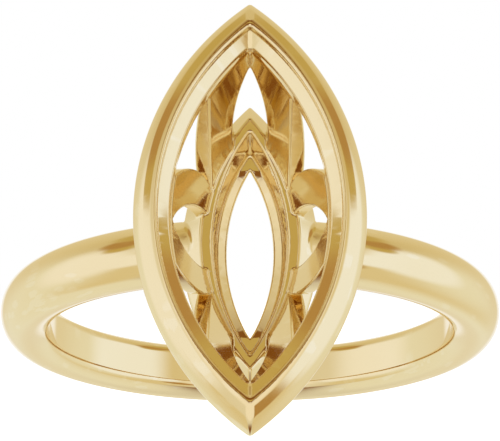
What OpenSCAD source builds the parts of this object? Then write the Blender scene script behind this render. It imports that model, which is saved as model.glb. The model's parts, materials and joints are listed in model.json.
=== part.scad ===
/* [Shank] */
// Diameter of the finger hole
finger_d = 17.35; // [16:0.05:20]
// Diameter of the round wire of the shank
wire_d = 2.62; // [2.4:0.02:2.8]
// Thickness of the wire with its inside ground flat
shank_t = 2.06; // [1.9:0.02:2.1]
// Width of the flat inside of the shank
flat_w = 1.75; // [1:0.05:2]
// Height of the worn corners beside that flat
corner_h = 0.2; // [0.1:0.01:0.3]

/* [Bezel] */
// Length of the opening for the stone
stone_l = 14.4; // [14:0.1:14.8]
// Width of the opening for the stone
stone_w = 6.84; // [6.6:0.02:7]
// Length of the bezel over its outside
bezel_l = 16.94; // [16.6:0.02:17.2]
// Width of the bezel over its outside
bezel_w = 8.7; // [8.5:0.02:8.9]
// Height of the lip above the centre of the finger hole
head_z = 15.05; // [15:0.05:15.5]
// Drop from the crest of the lip to the widest part of the bezel
lip_drop = 0.68; // [0.6:0.02:0.72]
// Radius of the outer edge of the bezel above its widest part
edge_r = 0.34; // [0.2:0.02:0.4]
// Bevel of the inner edge of the lip
lip_bevel = 0.1; // [0.04:0.02:0.14]
// Depth of the wall round the stone, from the lip to the seat
girdle_h = 0.38; // [0.3:0.02:0.5]
// Width of the stone seat
seat_w = 0.45; // [0.35:0.05:0.5]
// Drop of the stone seat from its outer edge to its inner edge
seat_drop = 0.3; // [0.1:0.05:0.35]
// Height of the upright wall below the seat
skirt_h = 0.6; // [0.5:0.05:0.7]
// Width of the flat that blunts each tip of the seat
tip_flat_w = 0.22; // [0.1:0.02:0.3]

/* [Gallery] */
// Half width of the bowl at its foot
bowl_foot_w = 1.75; // [1.65:0.05:1.85]
// Half length of the bowl at its foot
bowl_foot_l = 4.7; // [4.65:0.05:4.8]
// Lean of the bowl wall from upright
bowl_lean = 22.9; // [21:0.1:24]
// Thickness of the bowl wall at its foot
wall_foot_t = 0.56; // [0.5:0.02:0.6]
// Thickness of the bowl wall under the bezel
wall_top_t = 0.28; // [0.26:0.01:0.36]
// Radius of the outward bulge of the bowl wall
wall_bulge_r = 10; // [8:0.5:16]
// Height of the widest place of the arches above the foot of the bowl
arch_mid = 0.48; // [0.4:0.02:0.6]
// Height of a side arch above its widest place
side_arch_h = 2.15; // [1.8:0.05:2.2]
// Width of a side arch
side_arch_w = 2.3; // [2:0.05:2.5]
// Height of a tip arch above its widest place
tip_arch_h = 2; // [1.6:0.05:2.2]
// Width of a tip arch
tip_arch_w = 1.38; // [1:0.02:1.6]
// Radius of the pair of leaves that frames a side arch
leaf_r = 2.39; // [2.3:0.01:2.5]
// Height of the middle of that pair above the foot of the bowl
leaf_mid = 1.23; // [1.1:0.01:1.3]
// Distance from the middle to the foot of a leaf that frames a tip arch
tip_leaf_y = 2.05; // [1.95:0.01:2.15]
// Slope of the edge of such a leaf at its foot
tip_leaf_slope = 42; // [40:0.5:44]
// Radius of that edge
tip_leaf_r = 19; // [15:1:25]

/* [Base] */
// Height of the top face of the base above the centre of the finger hole
base_z = 10.82; // [10.76:0.02:10.9]
// Half width of the top face
base_top_w = 1.95; // [1.9:0.01:2]
// Half width of the base at its flange
flange_w = 2.69; // [2.6:0.01:2.75]
// Depth of the flange below the top face
flange_drop = 0.82; // [0.76:0.02:0.9]
// Radius of the long sides of the flange
flange_r = 9.84; // [9.6:0.02:10.2]
// Thickness of the edge of the flange
flange_t = 0.22; // [0.1:0.02:0.3]
// Whole height of the base
base_h = 1.8; // [1.75:0.05:1.9]
// Length of the opening in the top of the base
base_bore_l = 9.06; // [8.8:0.02:9.2]
// Width of the opening in the top of the base
base_bore_w = 2.88; // [2.6:0.02:3]
// Depth of the floor of the base below its top face
floor_drop = 1.52; // [1.4:0.02:1.56]
// Half width of the floor of the base
floor_w = 1.33; // [1.2:0.01:1.35]
// Half length of the floor of the base
floor_l = 3.56; // [3.5:0.02:3.8]
// Length of the hole through the floor
hole_l = 6.9; // [6:0.05:6.95]
// Width of the hole through the floor
hole_w = 1.84; // [1.4:0.02:2]

/* [Hidden] */
$fn = 144;

// Offset of the two arc centres of a marquise of that half length and half width
function arc_offset(half_l, half_w) = (half_l ^ 2 - half_w ^ 2) / (2 * half_w);
// Half length of a marquise of that arc offset and half width
function half_length(offset, half_w) = sqrt((offset + half_w) ^ 2 - offset ^ 2);
// Centre of an arc of radius r that runs from p up to q and bulges outward
function arc_centre(p, q, r) =
    let (span = q - p, inward = [-span[1], span[0]] / norm(span))
    (p + q) / 2 + sqrt(r ^ 2 - span * span / 4) * inward;
// Point where a line down from p meets the upper side of a circle at c of radius r
function touch(p, c, r) =
    let (to_c = c - p, turn = atan2(to_c[1], to_c[0]) + asin(r / norm(to_c)))
    p + sqrt(to_c * to_c - r ^ 2) * [cos(turn), sin(turn)];

// How far a cutter passes a face, and how far a sub-part runs into its neighbour
past = 0.5;
bond = 0.12;
// Half width that every marquise section covers beyond its middle
core_w = bezel_w / 2 + bond;

finger_r = finger_d / 2;
wire_r = wire_d / 2;
wire_path_r = finger_r + shank_t - wire_r;
corner_w = sqrt(wire_r ^ 2 - (wire_path_r - finger_r - corner_h) ^ 2);

seat_out_z = head_z - girdle_h;
seat_in_z = seat_out_z - seat_drop;
sole_z = seat_in_z - skirt_h;
stone_c = arc_offset(stone_l / 2, stone_w / 2);
seat_in_w = stone_w / 2 - seat_w;
seat_in_l = half_length(stone_c, seat_in_w);
// How far that flat lies in from the sharp tip
tip_flat_in = tip_flat_w / 2 * stone_c / seat_in_l;

bezel_c = arc_offset(bezel_l / 2, bezel_w / 2);
crest_w = stone_w / 2 + lip_bevel;
edge_z = head_z - lip_drop;
under_r = edge_z - sole_z;

bowl_c = arc_offset(bowl_foot_l, bowl_foot_w);
wall_foot_w = bowl_foot_w + wall_foot_t;
wall_top_w = bowl_foot_w + (sole_z - base_z) * tan(bowl_lean) + wall_top_t;
arch_mid_z = base_z + arch_mid;

flange_z = base_z - flange_drop;
flange_lean = atan((flange_w - base_top_w) / flange_drop);
flange_l = flange_r * sin(acos(1 - flange_w * cos(flange_lean) / flange_r));
// Trim that blunts the edge of the flange, and how deep the bowl wall roots in the base
rim_trim = 0.05;
wall_root = 0.4;
floor_z = base_z - floor_drop;

// The ring lies on one tip of the bezel and on the far end of the shank.
// This is how far round the underside of the bezel the tip touches.
tip_turn = 14;
tip_w = bezel_w / 2 - under_r * (1 - cos(tip_turn));
tip_z = edge_z - under_r * sin(tip_turn);
tip_reach = [tip_z + wire_path_r, half_length(bezel_c, tip_w)];
rest_tilt = atan(tip_reach[1] / tip_reach[0]) - asin(wire_r / norm(tip_reach));
rest_z = wire_path_r * sin(rest_tilt) + wire_r;
front_y = head_z * cos(rest_tilt) + half_length(bezel_c, crest_w) * sin(rest_tilt);
back_y = wire_path_r * cos(rest_tilt) + wire_r;

// Solid between two mirrored arcs, from a section drawn by half width and height,
// which starts at -core_w because the two halves overlap
module marquise(offset) {
    intersection() {
        translate([-offset, 0, 0]) rotate_extrude() translate([offset, 0]) children();
        translate([offset, 0, 0]) rotate_extrude() translate([offset, 0]) children();
    }
}

// Marquise that widens evenly from low_w at low_z to high_w at high_z
module flared_marquise(offset, low_z, low_w, high_z, high_w) {
    marquise(offset)
        polygon([[-core_w, low_z], [low_w, low_z], [high_w, high_z], [-core_w, high_z]]);
}

// Arch of two arcs that meet in a point above and below the origin
module pointed_arch(half_w, height) {
    offset = arc_offset(height, half_w);
    intersection() {
        translate([-offset, 0]) circle(r = offset + half_w);
        translate([offset, 0]) circle(r = offset + half_w);
    }
}

// Cuts along X, for a shape drawn by its Y and its height
module through_sides() {
    rotate([90, 0, 90]) linear_extrude(bezel_w, center = true) children();
}

// Cuts along Y, for a shape drawn by its X and its height
module through_tips() {
    rotate([90, 0, 0]) linear_extrude(bezel_l, center = true) children();
}

module shank() {
    color([0.86, 0.75, 0.48])
        rotate([90, 0, 0]) rotate_extrude() intersection() {
            translate([wire_path_r, 0]) circle(d = wire_d);
            polygon([
                [finger_r, flat_w / 2],
                [finger_r + corner_h, corner_w],
                [finger_r + wire_d, corner_w + wire_d],
                [finger_r + wire_d, -corner_w - wire_d],
                [finger_r + corner_h, -corner_w],
                [finger_r, -flat_w / 2]
            ]);
        }
}

// One long side of the base, a cylinder that leans over it from the height at_z
module leaning_side(side, slope, at_z) {
    translate([side * (flange_w - flange_r / cos(slope)), 0, at_z])
        rotate([0, -side * slope, 0])
            cylinder(r = flange_r, h = 4 * flange_r, center = true);
}

module base() {
    rim_w = flange_w - rim_trim;
    rim_c = arc_offset(flange_l - rim_trim, rim_w);
    color([0.84, 0.73, 0.46]) intersection() {
        leaning_side(1, flange_lean, flange_z);
        leaning_side(-1, flange_lean, flange_z);
        leaning_side(1, -flange_lean, flange_z - flange_t);
        leaning_side(-1, -flange_lean, flange_z - flange_t);
        flared_marquise(rim_c, base_z - base_h, rim_w, base_z, rim_w);
    }
}

// Shape of the pair of openings between the leaves, by Y and height
module leaf_openings() {
    for (side = [0, 1]) mirror([side, 0]) difference() {
        intersection() {
            translate([tip_leaf_y, base_z])
                translate(tip_leaf_r * [-sin(tip_leaf_slope), cos(tip_leaf_slope)])
                    circle(r = tip_leaf_r);
            translate([0, base_z]) square([bezel_l / 2, sole_z + bond - base_z]);
        }
        translate([0, base_z + leaf_mid]) circle(r = leaf_r);
    }
}

module gallery() {
    foot = [wall_foot_w, base_z];
    top = [wall_top_w, sole_z];
    color([0.85, 0.74, 0.46]) difference() {
        marquise(bowl_c) intersection() {
            translate(arc_centre(foot, top, wall_bulge_r)) circle(r = wall_bulge_r);
            translate([-core_w, base_z - wall_root])
                square([core_w + bezel_w, wall_root + sole_z + bond - base_z]);
        }
        through_sides() translate([0, arch_mid_z]) pointed_arch(side_arch_w / 2, side_arch_h);
        through_tips() translate([0, arch_mid_z]) pointed_arch(tip_arch_w / 2, tip_arch_h);
        through_sides() leaf_openings();
    }
}

// Section of the bezel without its hollow: lip, rounded edge and underside
module bezel_section() {
    crest = [crest_w, head_z];
    edge = [bezel_w / 2 - edge_r, edge_z];
    under = [bezel_w / 2 - under_r, edge_z];
    translate(edge) circle(r = edge_r);
    translate(under) intersection() {
        circle(r = under_r);
        translate([0, -under_r]) square(under_r);
    }
    polygon([[-core_w, sole_z], [under[0], sole_z], under, edge, touch(crest, edge, edge_r),
        crest, [-core_w, head_z]]);
}

module bezel() {
    color([0.87, 0.77, 0.52]) marquise(bezel_c) bezel_section();
}

// Hollow of the bezel: the opening for the stone, down to the inner edge of its seat
module stone_room() {
    half_w = stone_w / 2;
    low_y = seat_in_l - tip_flat_in;
    high_y = stone_l / 2 - tip_flat_in;
    intersection() {
        marquise(stone_c) polygon([
            [-core_w, seat_in_z],
            [seat_in_w, seat_in_z],
            [half_w, seat_out_z],
            [half_w, head_z - lip_bevel],
            [half_w + lip_bevel + past, head_z + past],
            [-core_w, head_z + past]
        ]);
        through_sides() polygon([
            [-low_y, seat_in_z],
            [low_y, seat_in_z],
            [high_y, seat_out_z],
            [high_y + past, seat_out_z + tip_flat_in],
            [high_y + past, head_z + 2 * past],
            [-high_y - past, head_z + 2 * past],
            [-high_y - past, seat_out_z + tip_flat_in],
            [-high_y, seat_out_z]
        ]);
    }
}

// Hollow of the bowl, narrowed by the upright wall below the seat
module bowl_room() {
    flare = tan(bowl_lean);
    intersection() {
        flared_marquise(stone_c, base_z, seat_in_w, seat_out_z, seat_in_w);
        flared_marquise(bowl_c, base_z, bowl_foot_w, seat_out_z,
            bowl_foot_w + (seat_out_z - base_z) * flare);
        cube([bezel_w, 2 * (seat_in_l - tip_flat_in), 2 * head_z], center = true);
    }
}

// Hollow of the base, with a round taper at its tips, and the hole through its floor
module base_room() {
    bore_c = arc_offset(base_bore_l / 2, base_bore_w / 2);
    hole_c = arc_offset(hole_l / 2, hole_w / 2);
    tip_flare = (base_bore_l / 2 - floor_l) / floor_drop;
    intersection() {
        flared_marquise(bore_c, floor_z, floor_w, base_z + bond, base_bore_w / 2);
        translate([0, 0, floor_z])
            cylinder(r1 = floor_l, r2 = floor_l + tip_flare * 2 * floor_drop, h = 2 * floor_drop);
    }
    flared_marquise(hole_c, finger_r - past, hole_w / 2, floor_z + bond, hole_w / 2);
}

// The whole mounting upright, with the centre of the finger hole at the origin
module upright_mounting() {
    difference() {
        union() {
            shank();
            base();
            gallery();
            bezel();
        }
        stone_room();
        bowl_room();
        base_room();
    }
}

module ring_mounting() {
    translate([0, (front_y - back_y) / 2, rest_z]) rotate([90 - rest_tilt, 0, 0]) upright_mounting();
}

ring_mounting();
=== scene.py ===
"""The bezel set ring mounting as it looks: one mesh of polished yellow gold, with its camera and studio.

The mesh comes from a distance function of the ring. Its shape is the CAD's with eased edges, a slightly
narrower wire and a longer, sloping floor in the base. It is sampled on a lattice around one quarter of the
ring, turned into faces, thinned, laid on the surface and mirrored."""
import json
import math
import bpy
import numpy as np
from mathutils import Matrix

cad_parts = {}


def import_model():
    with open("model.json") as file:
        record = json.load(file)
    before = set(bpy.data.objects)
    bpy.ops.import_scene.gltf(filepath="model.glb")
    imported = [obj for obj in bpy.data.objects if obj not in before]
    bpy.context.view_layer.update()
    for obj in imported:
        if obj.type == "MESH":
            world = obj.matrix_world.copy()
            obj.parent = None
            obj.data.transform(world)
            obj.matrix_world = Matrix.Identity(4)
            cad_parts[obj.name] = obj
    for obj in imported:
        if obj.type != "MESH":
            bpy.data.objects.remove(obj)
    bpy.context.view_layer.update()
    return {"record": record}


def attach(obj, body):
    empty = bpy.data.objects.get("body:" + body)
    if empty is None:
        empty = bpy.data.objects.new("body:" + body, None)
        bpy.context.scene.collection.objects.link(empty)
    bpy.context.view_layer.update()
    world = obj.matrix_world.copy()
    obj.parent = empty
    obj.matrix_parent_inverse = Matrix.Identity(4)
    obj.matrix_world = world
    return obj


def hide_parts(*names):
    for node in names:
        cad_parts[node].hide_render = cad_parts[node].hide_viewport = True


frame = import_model()

MM = 0.001
TINY = 1e-12

# The way the ring lies, from the axis and the middle of its finger hole
FINGER_HOLE = next(mount for mount in frame["record"]["mounts"] if mount["name"] == "finger_hole")
REST_PLACE = FINGER_HOLE["pos_m"]
LEAN_SIN, LEAN_COS = FINGER_HOLE["axis"][1:]

# Shank, in millimetres. The ring is measured upright, with its finger hole along Y and its head towards +Z.
# The oval wire reaches outward and inward from where it is widest, and the flat cuts the inward end short
FINGER_R = 8.675
WIDEST_R = 9.72
WIRE_HALF_W = 1.242
OUTER_REACH = 1.0
INNER_REACH = 1.4
FLAT_EASE = 0.15

# Bezel: half lengths and half widths of its pointed ovals, and heights
STONE_L = 7.2
STONE_W = 3.42
BEZEL_L = 8.498
BEZEL_W = 4.37
HEAD_Z = 15.05
LIP_SLOPE = math.radians(31.0)
LIP_START = 0.1
LIP_EDGE_R = 0.45
SOLE_EDGE_R = 0.5
RIDGE_R = 0.12
GIRDLE_H = 0.38
SEAT_W = 0.45
SEAT_DROP = 0.3
SKIRT_H = 0.6
SKIRT_TIP = 0.11
SEAT_OUT_Z = HEAD_Z - GIRDLE_H
SEAT_IN_Z = SEAT_OUT_Z - SEAT_DROP
SOLE_Z = SEAT_IN_Z - SKIRT_H

# Gallery
BASE_Z = 10.82
BOWL_L = 4.7
BOWL_W = 1.75
BOWL_LEAN = math.radians(22.9)
FOOT_WALL = 0.56
TOP_WALL = 0.28
BULGE_R = 10.0
ARCH_MIDDLE = 0.48
SIDE_ARCH_H = 2.15
SIDE_ARCH_W = 1.15
TIP_ARCH_H = 2.0
TIP_ARCH_W = 0.69
LEAF_R = 2.39
LEAF_MIDDLE = 1.23
LEAF_Y = 2.05
LEAF_SLOPE = math.radians(42.0)
LEAF_CURVE_R = 19.0

# Base
BASE_TOP_W = 1.95
BASE_L = 5.895
BASE_W = 2.64
FLANGE_W = 2.69
FLANGE_DROP = 0.82
FLANGE_R = 9.84
FLANGE_T = 0.22
BASE_H = 1.8
BASE_LEAN = math.atan((FLANGE_W - BASE_TOP_W) / FLANGE_DROP)
FLOOR_DROP = 1.52
BORE_L = 4.53
BORE_W = 1.44
FLOOR_L = 4.2
FLOOR_TIP_R = 0.25
FLOOR_W = 1.33
FLOOR_FUNNEL = math.radians(13.0)  # slope towards the hole along the two long sides
FLOOR_FADE = 0.3  # length over which that slope fades out at the hole's tips
BORE_EASE = 0.09
TAPER_RUN = (-1.0, 2.0)  # how far the bore's taper goes on past its floor and its top, in floor depths
HOLE_L = 3.45
HOLE_W = 0.92

# Radii that ease the edges and fill the corners
FINE = 0.02
SMALL = 0.07
EDGE = 0.1
JOIN = 0.08
FILLET = 0.1
SOLE_EASE = 0.15


# Distance function of the ring

def both(a, b, ease):
    """What lies in a and in b, with the edge between them rounded to the radius ease."""
    outside = np.hypot(np.maximum(a + ease, 0.0), np.maximum(b + ease, 0.0))
    return np.minimum(np.maximum(a, b), -ease) + outside


def either(a, b, ease):
    """What lies in a or in b, with a fillet of the radius ease between them."""
    return -both(-a, -b, ease)


def without(a, b, ease):
    """What lies in a and not in b."""
    return both(a, -b, ease)


def arc_offset(length, width):
    """How far the centre of each side's arc lies beyond the middle of a pointed oval, from its half sizes."""
    return (length * length - width * width) / (2.0 * width)


def arc_length(offset, width):
    """Half length of the pointed oval of that half width whose arcs have their centres that far out."""
    return math.sqrt((offset + width) ** 2 - offset ** 2)


def pointed(x, y, offset, section, ease):
    """Pointed oval ring: where a section turned about one arc's centre meets it turned about the other's."""
    right = section(np.hypot(x + offset, y) - offset)
    left = section(np.hypot(x - offset, y) - offset)
    return both(right, left, ease)


def lens(across, up, height, width):
    """Pointed arch in a wall, endless along its third direction."""
    offset = arc_offset(height, width)
    far = np.hypot(np.abs(across) + offset, up)
    return far - (offset + width)


STONE_C = arc_offset(STONE_L, STONE_W)
BEZEL_C = arc_offset(BEZEL_L, BEZEL_W)
BOWL_C = arc_offset(BOWL_L, BOWL_W)
FLARE = math.tan(BOWL_LEAN)


def shank(x, y, z):
    """Oval wire bent into a hoop, with a flat inside."""
    r = np.hypot(x, z) - WIDEST_R
    reach = np.where(r > 0.0, OUTER_REACH, INNER_REACH)
    share = np.hypot(r / reach, y / WIRE_HALF_W)
    steepness = np.hypot(r / reach ** 2, y / WIRE_HALF_W ** 2)
    wire = share * (share - 1.0) / np.maximum(steepness, FINE)
    return both(wire, FINGER_R - WIDEST_R - r, FLAT_EASE)


def leaning_sides(x, y, z, lean):
    """Space between two arcs that lean towards each other, each of them part of a tilted cylinder."""
    def side(across):
        out = across - FLANGE_W + FLANGE_R / math.cos(BASE_LEAN)
        return np.hypot(out * math.cos(BASE_LEAN) + lean * z * math.sin(BASE_LEAN), y) - FLANGE_R
    return both(side(x), side(-x), FILLET)


def base(x, y, z):
    """Low collar that flares from its top to a thin rim, and draws in again below it."""
    rim_z = BASE_Z - FLANGE_DROP
    above = leaning_sides(x, y, z - rim_z, 1.0)
    below = leaning_sides(x, y, z - rim_z + FLANGE_T, -1.0)
    rim = pointed(x, y, arc_offset(BASE_L, BASE_W), lambda w: w - BASE_W, FILLET)
    block = both(both(above, below, JOIN), rim, JOIN)
    return both(both(block, z - BASE_Z, JOIN), BASE_Z - BASE_H - z, SOLE_EASE)


def gallery(x, y, z):
    """Bowl shaped wall with a swelling outside, pierced by arches and by leaf shaped openings."""
    foot = np.array([BOWL_W + FOOT_WALL, BASE_Z])
    top = np.array([BOWL_W + (SOLE_Z - BASE_Z) * FLARE + TOP_WALL, SOLE_Z])
    span = top - foot
    inward = np.array([-span[1], span[0]]) / np.hypot(*span)
    centre = (foot + top) / 2.0 + math.sqrt(BULGE_R ** 2 - span @ span / 4.0) * inward
    wall = pointed(x, y, BOWL_C, lambda w: np.hypot(w - centre[0], z - centre[1]) - BULGE_R, FILLET)
    wall = np.maximum(wall, z - SOLE_Z - TOP_WALL)
    wall = np.maximum(wall, BASE_Z - FOOT_WALL - z)
    up = z - BASE_Z - ARCH_MIDDLE
    side_arch = lens(y, up, SIDE_ARCH_H, SIDE_ARCH_W)
    tip_arch = lens(x, up, TIP_ARCH_H, TIP_ARCH_W)
    curve_y = LEAF_Y - LEAF_CURVE_R * math.sin(LEAF_SLOPE)
    curve_z = BASE_Z + LEAF_CURVE_R * math.cos(LEAF_SLOPE)
    under_curve = np.hypot(y - curve_y, z - curve_z) - LEAF_CURVE_R
    beyond_round = LEAF_R - np.hypot(y, z - BASE_Z - LEAF_MIDDLE)
    leaf = both(under_curve, beyond_round, FINE)
    for opening in (side_arch, leaf, tip_arch):
        wall = without(wall, opening, EDGE)
    return wall


def bezel(x, y, z):
    """Big pointed rim: sloping lip, upright band, rounded sole."""
    def section(w):
        lip = (w - STONE_W - LIP_START) * math.sin(LIP_SLOPE) + (z - HEAD_Z) * math.cos(LIP_SLOPE)
        band = both(both(lip, z - HEAD_Z, FINE), w - BEZEL_W, LIP_EDGE_R)
        return both(band, SOLE_Z - z, SOLE_EDGE_R)
    return pointed(x, y, BEZEL_C, section, RIDGE_R)


def stone_room(x, y, z):
    """Where the stone would sit: inside the girdle wall and above the sloping seat."""
    seat = math.atan2(SEAT_DROP, SEAT_W)

    def section(w):
        below_seat = (w - STONE_W + SEAT_W) * math.sin(seat) - (z - SEAT_IN_Z) * math.cos(seat)
        bevel = (w - STONE_W - z + HEAD_Z - LIP_START) * math.sqrt(0.5)
        return both(either(w - STONE_W, bevel, FINE), below_seat, FINE)
    return pointed(x, y, STONE_C, section, SMALL)


def bowl_room(x, y, z):
    """Hollow of the bowl, up to the seat's inner edge, blunt at its two tips."""
    width = STONE_W - SEAT_W
    length = arc_length(STONE_C, width)
    skirt = pointed(x, y, STONE_C, lambda w: w - width, SMALL)
    skirt = both(skirt, y - length + SKIRT_TIP * STONE_C / length, FINE)
    cone = pointed(x, y, BOWL_C, lambda w: (w - BOWL_W - (z - BASE_Z) * FLARE) * math.cos(BOWL_LEAN), SMALL)
    cone = np.maximum(cone, BASE_Z - FOOT_WALL / 2.0 - z)
    return np.maximum(both(cone, skirt, SMALL), z - SEAT_OUT_Z)


def base_room(x, y, z):
    """Tapering hollow of the base, down to its floor."""
    rise = z - BASE_Z + FLOOR_DROP
    share = np.clip(rise / FLOOR_DROP, *TAPER_RUN)
    length = FLOOR_L + (BORE_L - FLOOR_L) * share
    width = FLOOR_W + (BORE_W - FLOOR_W) * share
    ease = np.clip(FLOOR_TIP_R + (SMALL - FLOOR_TIP_R) * share, SMALL, None)
    slant = math.cos(math.atan((BORE_L - FLOOR_L) / FLOOR_DROP))
    funnel = math.tan(FLOOR_FUNNEL) * np.clip((HOLE_L - y) / FLOOR_FADE, 0.0, 1.0)
    offset = arc_offset(length, width)
    room = pointed(x, y, offset, lambda w: (w - width) * slant, ease * slant)
    sunk = np.minimum(width - np.hypot(x + offset, y) + offset, FLOOR_W - HOLE_W)
    room = both(room, -rise - funnel * np.maximum(sunk, 0.0), BORE_EASE)
    return np.maximum(room, z - BASE_Z - TOP_WALL)


def hole(x, y, z):
    """Pointed hole through the floor of the base and the shank under it."""
    room = pointed(x, y, arc_offset(HOLE_L, HOLE_W), lambda w: w - HOLE_W, FINE)
    return np.maximum(np.maximum(room, z - BASE_Z), -z)


def ring(points):
    """Signed distance from the ring's surface, below zero in the metal."""
    x = np.abs(points[:, 0])
    y = np.abs(points[:, 1])
    z = points[:, 2]
    head = either(gallery(x, y, z), bezel(x, y, z), JOIN)
    head = without(head, stone_room(x, y, z), JOIN)
    head = without(head, bowl_room(x, y, z), SMALL)
    metal = either(shank(x, y, z), base(x, y, z), FILLET)
    metal = either(metal, head, JOIN)
    metal = without(metal, base_room(x, y, z), EDGE)
    return without(metal, hole(x, y, z), SMALL)


# Mesh of one quarter of the ring, from the distance function

CELL = 0.045  # millimetres
SPLIT = 3
QUARTER_TRIANGLES = 47500
BOTTOM_Z = -10.9
TOP_Z = 15.3
OUTER_X = 10.9
OUTER_Y = 8.7
CAUTION = 1.6  # the distance function can overstate a distance by this much
NUDGE = 0.004
STEPS_ONTO_SURFACE = 5
CUBE = np.array([(i, j, k) for i in (0, 1) for j in (0, 1) for k in (0, 1)])
CUBE_FACES = ((0, 1, 3, 2), (4, 5, 7, 6), (0, 1, 5, 4), (2, 3, 7, 6), (0, 2, 6, 4), (1, 3, 7, 5))
SETTLING_PASSES = 6
TRUE_WITHIN = 2.5  # degrees
FLATTEST = 0.25  # least squared slope of the distance function that a step onto the surface trusts
SPREAD = 1 << 12  # more than the lattice points along any axis


def place(index):
    """Lattice point to millimetres. The planes X = 0 and Y = 0 pass through the middle of the first cells."""
    return (np.asarray(index, float) - (0.5, 0.5, 0.0)) * CELL + (0.0, 0.0, BOTTOM_Z)


def grid(counts):
    """All cells of a box of cells."""
    axes = np.meshgrid(*(np.arange(n) for n in counts), indexing="ij")
    return np.stack([a.ravel() for a in axes], axis=1)


def near_surface(cells, width):
    """Those cells, width fine cells wide, that the surface may pass through."""
    reach = CAUTION * math.sqrt(3.0) / 2.0 * width * CELL
    return cells[np.abs(ring(place(cells + width / 2.0))) < reach]


def fine_cells():
    """Fine cells around the surface, found in steps from coarse ones."""
    width = SPLIT * SPLIT
    spans = (OUTER_X, OUTER_Y, TOP_Z - BOTTOM_Z)
    cells = grid([int(s / (width * CELL)) + 1 for s in spans]) * width
    while width > 1:
        cells = near_surface(cells, width)
        width //= SPLIT
        cells = (cells[:, None, :] + grid((SPLIT, SPLIT, SPLIT))[None] * width).reshape(-1, 3)
    return cells


def key(index):
    """One number for each lattice index."""
    return (index[..., 0] * SPREAD + index[..., 1]) * SPREAD + index[..., 2]


def slope(points):
    """Gradient of the distance function."""
    nudges = np.eye(3) * NUDGE
    return np.stack([(ring(points + n) - ring(points - n)) / (2.0 * NUDGE) for n in nudges], axis=1)


def onto_surface(points):
    """The points moved along the gradient until they lie on the surface."""
    for _ in range(STEPS_ONTO_SURFACE):
        g = slope(points)
        far = ring(points)
        step = far / np.maximum((g * g).sum(axis=1), FLATTEST)
        step = np.clip(step, -CELL, CELL)
        points = points - step[:, None] * g
    return points


def settled(values, corners):
    """The values at the lattice points, with the sign of a few changed so that no face of a cell has its
    inside corners across a diagonal, which would give the mesh an edge with four faces. corners has the eight
    points of each cell."""
    for _ in range(SETTLING_PASSES):
        for face in CUBE_FACES:
            around = values[corners[:, face]]
            sign = around < 0.0
            split = (sign[:, 0] == sign[:, 2]) & (sign[:, 1] == sign[:, 3]) & (sign[:, 0] != sign[:, 1])
            nearest = np.abs(around[split]).argmin(axis=1)
            turned = np.unique(corners[split][np.arange(len(nearest)), np.array(face)[nearest]])
            values[turned] *= -1.0
    return values


def quarter_faces():
    """Corner points and four-sided faces of the ring's quarter with x and y above 0: one point in each cell
    that the surface passes through, and one face around each lattice edge that crosses it."""
    cells = fine_cells()
    corners = cells[:, None, :] + CUBE[None]
    _, first, back = np.unique(key(corners).ravel(), return_index=True, return_inverse=True)
    back = back.reshape(-1, len(CUBE))
    values = settled(ring(place(corners.reshape(-1, 3)[first])), back)
    inside = (values < 0.0)[back]
    crossed = inside.any(axis=1) & ~inside.all(axis=1)
    cells = cells[crossed]
    inside = inside[crossed]
    corner_values = values[back[crossed]]
    total = np.zeros((len(cells), 3))
    count = np.zeros(len(cells))
    for a in range(len(CUBE)):
        for b in range(a + 1, len(CUBE)):
            if np.abs(CUBE[a] - CUBE[b]).sum() != 1:
                continue
            cut = inside[:, a] != inside[:, b]
            va = corner_values[cut, a]
            vb = corner_values[cut, b]
            share = va / (va - vb)
            total[cut] += CUBE[a] + share[:, None] * (CUBE[b] - CUBE[a])
            count[cut] += 1
    points = place(cells + total / count[:, None])
    order = np.argsort(key(cells))
    cell_keys = key(cells)[order]
    faces = []
    for axis in range(3):
        side, other = [a for a in range(3) if a != axis]
        along = np.eye(3, dtype=int)[axis]
        start = inside[:, 0]
        end = inside[:, int(np.where((CUBE == along).all(axis=1))[0][0])]
        picked = (start != end) & (cells[:, side] > 0) & (cells[:, other] > 0)
        if axis != 0:
            picked &= cells[:, 0] > 0
        home = cells[picked]
        step_side = np.eye(3, dtype=int)[side]
        step_other = np.eye(3, dtype=int)[other]
        around = [home, home - step_side, home - step_side - step_other, home - step_other]
        found = [order[np.searchsorted(cell_keys, key(c))] for c in around]
        quads = np.stack(found, axis=1)
        flip = start[picked] == (axis == 1)
        quads[flip] = quads[flip][:, ::-1]
        faces.append(quads)
    return points, np.concatenate(faces)


def new_mesh(name, points, faces):
    """Blender mesh of points and faces that all have the same number of corners."""
    mesh = bpy.data.meshes.new(name)
    sides = faces.shape[1]
    mesh.vertices.add(len(points))
    mesh.vertices.foreach_set("co", np.ascontiguousarray(points, dtype=np.float32).ravel())
    mesh.loops.add(faces.size)
    mesh.loops.foreach_set("vertex_index", np.ascontiguousarray(faces, dtype=np.int32).ravel())
    mesh.polygons.add(len(faces))
    mesh.polygons.foreach_set("loop_start", np.arange(0, faces.size, sides, dtype=np.int32))
    mesh.update(calc_edges=True)
    return mesh


def thinned(points, faces, triangles):
    """Fewer triangles, by Blender's Decimate modifier."""
    scratch = bpy.data.objects.new("scratch", new_mesh("scratch", points, faces))
    bpy.context.scene.collection.objects.link(scratch)
    thin = scratch.modifiers.new("thin", "DECIMATE")
    thin.ratio = min(1.0, triangles / (2.0 * len(faces)))
    thin.use_collapse_triangulate = True
    result = bpy.data.meshes.new_from_object(scratch.evaluated_get(bpy.context.evaluated_depsgraph_get()))
    result.calc_loop_triangles()
    points = np.zeros(len(result.vertices) * 3, dtype=np.float32)
    result.vertices.foreach_get("co", points)
    corners = np.zeros(len(result.loop_triangles) * 3, dtype=np.int32)
    result.loop_triangles.foreach_get("vertices", corners)
    bpy.data.objects.remove(scratch)
    bpy.data.meshes.remove(result)
    return points.reshape(-1, 3).astype(float), corners.reshape(-1, 3)


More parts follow.
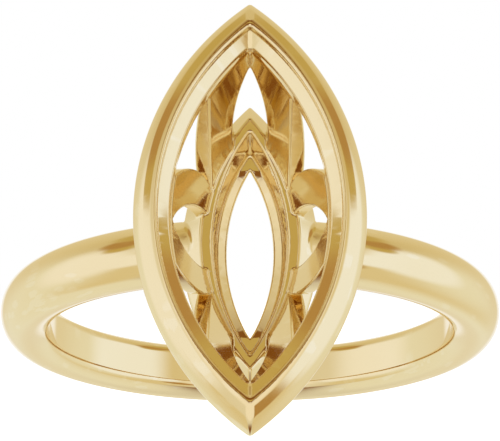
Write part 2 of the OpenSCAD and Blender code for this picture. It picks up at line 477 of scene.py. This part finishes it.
def rim_points(faces):
    """The points on the open edge of a surface of triangles."""
    edges = np.concatenate([faces[:, [0, 1]], faces[:, [1, 2]], faces[:, [2, 0]]])
    edges.sort(axis=1)
    pairs, counts = np.unique(edges, axis=0, return_counts=True)
    return np.unique(pairs[counts == 1])


def mirrored(points, faces):
    """A quarter and its three mirror images as one closed surface."""
    for axis in (0, 1):
        on_plane = points[:, axis] == 0.0
        image = points.copy()
        image[:, axis] *= -1.0
        new_index = np.arange(len(points))
        new_index[~on_plane] = len(points) + np.arange((~on_plane).sum())
        points = np.concatenate([points, image[~on_plane]])
        faces = np.concatenate([faces, new_index[faces][:, ::-1]])
    return points, faces


def laid_down(directions):
    """Directions from the upright ring to the frame, where the ring lies on its side."""
    x, y, z = directions.T
    return np.stack([x, y * LEAN_SIN - z * LEAN_COS, y * LEAN_COS + z * LEAN_SIN], axis=1)


def unit(vectors):
    """The same directions with length one."""
    return vectors / np.maximum(np.linalg.norm(vectors, axis=1), TINY)[:, None]


def shading_normals(points, faces):
    """The surface's own normals, but those of the large faces beside it for a point in a fine edge or corner.
    Otherwise the edge would tint the whole of a large face."""
    own = unit(slope(points))
    a, b, c = (points[faces[:, i]] for i in range(3))
    face_normals = np.cross(b - a, c - a)
    around = np.zeros_like(points)
    for i in range(3):
        np.add.at(around, faces[:, i], face_normals)
    around = unit(around)
    apart = np.degrees(np.arccos(np.clip((own * around).sum(axis=1), -1.0, 1.0)))
    share = np.clip((apart - TRUE_WITHIN) / TRUE_WITHIN, 0.0, 1.0)[:, None]
    return unit(own * (1.0 - share) + around * share)


def ring_piece():
    """The finished ring as one Blender object."""
    points, quads = quarter_faces()
    points = onto_surface(points)
    points, triangles = thinned(points, quads, QUARTER_TRIANGLES)
    rim = rim_points(triangles)
    for axis in (0, 1):
        flat = rim[np.abs(points[rim, axis]) < CELL / 2.0]
        points[flat, axis] = 0.0
    points = onto_surface(points)
    points, triangles = mirrored(points, triangles)
    normals = shading_normals(points, triangles)
    mesh = new_mesh("ring", laid_down(points) * MM + REST_PLACE, triangles)
    mesh.normals_split_custom_set_from_vertices(laid_down(normals))
    piece = bpy.data.objects.new("ring", mesh)
    bpy.context.scene.collection.objects.link(piece)
    return piece


# Looks

GOLD = (0.87, 0.745, 0.485, 1.0)
WARM_GOLD = (0.865, 0.733, 0.465, 1.0)
RUBBED_GOLD = (0.885, 0.77, 0.53, 1.0)
# Darker gold that is painted into concave corners as shade
CORNER_SHADE_GOLD = (0.80, 0.655, 0.385, 1.0)

# Noises in the gold: how wide their spots are, in millimetres, and how many finer layers they have
CLOUDS = (4.0, 3.0)
SWELLS = (1.6, 1.0)
SPECKS = (0.22, 4.0)
HAIRLINES = (0.09, 2.0)
HAIRLINE_LENGTH = 2.4
SWELL_DEPTH = 0.0006
HAIRLINE_DEPTH = 0.0001

# Ranges of noise, of Blender's pointiness (0.5 is flat, more an edge, less a corner) and of what they set
NONE_TO_ALL = (0.0, 1.0)
NONE_TO_MOST = (0.0, 0.6)
CLOUD_RANGE = (0.35, 0.65)
SPECK_RANGE = (0.3, 0.7)
RUBBED_RANGE = (0.51, 0.56)
CORNER_SHADE_RANGE = (0.49, 0.44)
POLISH = (0.06, 0.09)


def add_node(tree, kind, **settings):
    """New node with some of its settings."""
    node = tree.nodes.new(kind)
    for name, value in settings.items():
        setattr(node, name, value)
    return node


def noise(tree, where, size, detail):
    """Noise with spots of that size, in millimetres."""
    node = add_node(tree, "ShaderNodeTexNoise")
    node.inputs["Scale"].default_value = 1.0 / (size * MM)
    node.inputs["Detail"].default_value = detail
    tree.links.new(where, node.inputs["Vector"])
    return node.outputs["Fac"]


def ranged(tree, value, source, target):
    """The value, mapped from the source range to the target range."""
    node = add_node(tree, "ShaderNodeMapRange")
    for name, number in zip(("From Min", "From Max", "To Min", "To Max"), source + target):
        node.inputs[name].default_value = number
    tree.links.new(value, node.inputs["Value"])
    return node.outputs["Result"]


def blended(tree, share, first, second):
    """Colour that goes from the first to the second. The first is a colour or another node's output."""
    node = add_node(tree, "ShaderNodeMix", data_type="RGBA")
    under, over = [i for i in node.inputs if i.type == "RGBA"]
    over.default_value = second
    if isinstance(first, tuple):
        under.default_value = first
    else:
        tree.links.new(first, under)
    tree.links.new(share, node.inputs["Factor"])
    return [o for o in node.outputs if o.type == "RGBA"][0]


def bumped(tree, height, depth, under=None):
    """Surface normal with that height, up to depth in millimetres, on top of the normal under it."""
    node = add_node(tree, "ShaderNodeBump")
    node.inputs["Strength"].default_value = 1.0
    node.inputs["Distance"].default_value = depth * MM
    tree.links.new(height, node.inputs["Height"])
    if under:
        tree.links.new(under, node.inputs["Normal"])
    return node.outputs["Normal"]


def gold_material():
    """Polished yellow gold: clouds of tone, edges rubbed pale, painted shade darkening the concave corners,
    swells and fine hairlines.
    """
    material = bpy.data.materials.new("polished yellow gold")
    material.use_nodes = True
    tree = material.node_tree
    shader = tree.nodes["Principled BSDF"]
    where = add_node(tree, "ShaderNodeTexCoord").outputs["Object"]
    edge = add_node(tree, "ShaderNodeNewGeometry").outputs["Pointiness"]
    clouds = ranged(tree, noise(tree, where, *CLOUDS), CLOUD_RANGE, NONE_TO_ALL)
    rubbed = ranged(tree, edge, RUBBED_RANGE, NONE_TO_ALL)
    # Painted shade: the colour turns to the darker gold in concave corners, where pointiness falls below flat
    corner_shade = ranged(tree, edge, CORNER_SHADE_RANGE, NONE_TO_MOST)
    colour = blended(tree, clouds, GOLD, WARM_GOLD)
    colour = blended(tree, rubbed, colour, RUBBED_GOLD)
    colour = blended(tree, corner_shade, colour, CORNER_SHADE_GOLD)
    roughness = ranged(tree, noise(tree, where, *SPECKS), SPECK_RANGE, POLISH)
    along = add_node(tree, "ShaderNodeMapping")
    along.inputs["Scale"].default_value = (1.0, HAIRLINES[0] / HAIRLINE_LENGTH, 1.0)
    tree.links.new(where, along.inputs["Vector"])
    hairlines = noise(tree, along.outputs["Vector"], *HAIRLINES)
    normal = bumped(tree, noise(tree, where, *SWELLS), SWELL_DEPTH)
    normal = bumped(tree, hairlines, HAIRLINE_DEPTH, normal)
    tree.links.new(colour, shader.inputs["Base Color"])
    tree.links.new(roughness, shader.inputs["Roughness"])
    tree.links.new(normal, shader.inputs["Normal"])
    shader.inputs["Metallic"].default_value = 1.0
    return material


GROUND_HALF = 3.0  # metres
GROUND_COLOUR = (0.9, 0.9, 0.9, 1.0)
GROUND_GLOW = 0.98


def floor():
    """Wide white floor. The ring doesn't mirror it."""
    corners = GROUND_HALF * np.array([(-1.0, -1.0, 0.0), (1.0, -1.0, 0.0), (1.0, 1.0, 0.0), (-1.0, 1.0, 0.0)])
    piece = bpy.data.objects.new("floor", new_mesh("floor", corners, np.array([[0, 1, 2, 3]])))
    bpy.context.scene.collection.objects.link(piece)
    material = bpy.data.materials.new("white floor")
    material.use_nodes = True
    shader = material.node_tree.nodes["Principled BSDF"]
    shader.inputs["Base Color"].default_value = GROUND_COLOUR
    shader.inputs["Roughness"].default_value = 1.0
    shader.inputs["Emission Color"].default_value = (1.0, 1.0, 1.0, 1.0)
    shader.inputs["Emission Strength"].default_value = GROUND_GLOW
    piece.data.materials.append(material)
    piece.visible_glossy = False


# Colours of the studio, from its brightest card to its darkest shade
BRIGHT = (1.20, 1.15, 1.00)
COOL_WHITE = (1.00, 1.05, 1.15)
WHITE = (1.00, 1.00, 1.00)
WARM_WHITE = (1.00, 0.95, 0.85)
PALE = (0.90, 0.90, 0.80)
CREAM = (0.85, 0.80, 0.65)
SAND = (0.80, 0.70, 0.45)
OCHRE = (0.60, 0.45, 0.15)
BRONZE = (0.50, 0.30, 0.10)
UMBER = (0.25, 0.10, 0.02)

# Soft areas of the studio around the ring, in the order in which each one is laid over those before it: the
# azimuth of its middle, or of the middles of a pair (0 is towards the camera, 90 towards +X), the elevation,
# how far it is even and how far it fades out, all in degrees, and its colour
AREAS = {
    # Painted shadow: straight below, the ring mirrors a dark patch that stands in for the table's shade under
    # it
    "table shadow": ((0.0,), -90.0, 15.0, 50.0, UMBER),
    "low rear": ((-120.0, 120.0), -40.0, 30.0, 50.0, PALE),
    "low front": ((-75.0, 75.0), -30.0, 20.0, 35.0, SAND),
    "warm wall": ((90.0,), 0.0, 45.0, 75.0, SAND),
    "side walls": ((-105.0, 105.0), 0.0, 5.0, 55.0, PALE),
    "ceiling": ((180.0,), 80.0, 10.0, 80.0, OCHRE),
    "high rear": ((180.0,), 45.0, 10.0, 75.0, SAND),
    "backdrop": ((180.0,), 0.0, 20.0, 28.0, WHITE),
    "front": ((0.0,), 5.0, 30.0, 45.0, WARM_WHITE),
    "left panel": ((-80.0,), 5.0, 15.0, 35.0, WHITE),
    "right panel": ((80.0,), 5.0, 20.0, 35.0, COOL_WHITE),
    "left card": ((-55.0,), 0.0, 10.0, 18.0, WHITE),
    "right card": ((55.0,), 0.0, 10.0, 18.0, COOL_WHITE),
    "canopy": ((0.0,), 60.0, 16.0, 30.0, UMBER),
    "canopy front": ((-72.0, 72.0), 33.0, 4.0, 10.0, OCHRE),
    "canopy sides": ((-80.0, 80.0), 43.0, 6.0, 13.0, BRONZE),
    "canopy rear": ((-93.0, 93.0), 58.0, 4.0, 15.0, OCHRE),
    "shade": ((0.0,), 14.0, 16.0, 27.0, UMBER),
    "front card": ((0.0,), 4.0, 5.0, 8.0, BRIGHT),
    "upper card": ((0.0,), 35.0, 5.0, 11.0, OCHRE),
    "low shade": ((40.0,), -20.0, 5.0, 12.0, BRONZE),
}


def direction(azimuth, elevation):
    """Unit vector towards that azimuth and elevation, in degrees."""
    a = math.radians(azimuth)
    e = math.radians(elevation)
    return math.sin(a) * math.cos(e), -math.cos(a) * math.cos(e), math.sin(e)


def world():
    """Surroundings that the ring mirrors: a cream room with soft panels, cards and shades."""
    scene_world = bpy.data.worlds.new("studio")
    scene_world.use_nodes = True
    bpy.context.scene.world = scene_world
    tree = scene_world.node_tree
    background = tree.nodes["Background"]
    looking = add_node(tree, "ShaderNodeTexCoord").outputs["Generated"]
    colour = (*CREAM, 1.0)
    for azimuths, elevation, even, faded, tint in AREAS.values():
        for azimuth in azimuths:
            toward = add_node(tree, "ShaderNodeVectorMath", operation="DOT_PRODUCT")
            toward.inputs[1].default_value = direction(azimuth, elevation)
            tree.links.new(looking, toward.inputs[0])
            share = add_node(tree, "ShaderNodeMapRange", interpolation_type="SMOOTHSTEP")
            share.inputs["From Min"].default_value = math.cos(math.radians(faded))
            share.inputs["From Max"].default_value = math.cos(math.radians(even))
            tree.links.new(toward.outputs["Value"], share.inputs["Value"])
            colour = blended(tree, share.outputs["Result"], colour, (*tint, 1.0))
    tree.links.new(colour, background.inputs["Color"])
    scene_world.cycles_visibility.diffuse = False


OVERHEAD_SIZE = 0.6  # metres
OVERHEAD_PLACE = (0.0, 0.1, 0.5)
OVERHEAD_WATTS = 1.6


def overhead_light():
    """Large soft white light over the floor. The ring doesn't mirror it."""
    data = bpy.data.lights.new("overhead", "AREA")
    data.shape = "DISK"
    data.size = OVERHEAD_SIZE
    data.energy = OVERHEAD_WATTS
    piece = bpy.data.objects.new("overhead", data)
    piece.location = OVERHEAD_PLACE
    piece.visible_glossy = False
    bpy.context.scene.collection.objects.link(piece)


CAMERA_PLACE = (0.0, -91.888, 5.118)  # millimetres
CAMERA_PITCH = math.radians(91.896)
CAMERA_LENS = 158.1  # millimetres, over a sensor of the width below
CAMERA_SENSOR = 36.0
NEAREST = 0.005  # metres
FARTHEST = 20.0


def camera():
    """Camera at the photo's angle to the ring, low over the floor."""
    data = bpy.data.cameras.new("camera")
    data.lens = CAMERA_LENS
    data.sensor_width = CAMERA_SENSOR
    data.sensor_fit = "HORIZONTAL"
    data.clip_start = NEAREST
    data.clip_end = FARTHEST
    piece = bpy.data.objects.new("camera", data)
    piece.location = [part * MM for part in CAMERA_PLACE]
    piece.rotation_euler = (CAMERA_PITCH, 0.0, 0.0)
    bpy.context.scene.collection.objects.link(piece)
    bpy.context.scene.camera = piece


DEEPEST_MIRRORING = 10  # the bowl mirrors itself many times over

gold = gold_material()
ring_object = ring_piece()
ring_object.data.materials.append(gold)
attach(ring_object, "root")
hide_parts("ring_mounting")
floor()
world()
overhead_light()
camera()
scene = bpy.context.scene
scene.view_settings.view_transform = "Standard"
scene.cycles.glossy_bounces = DEEPEST_MIRRORING
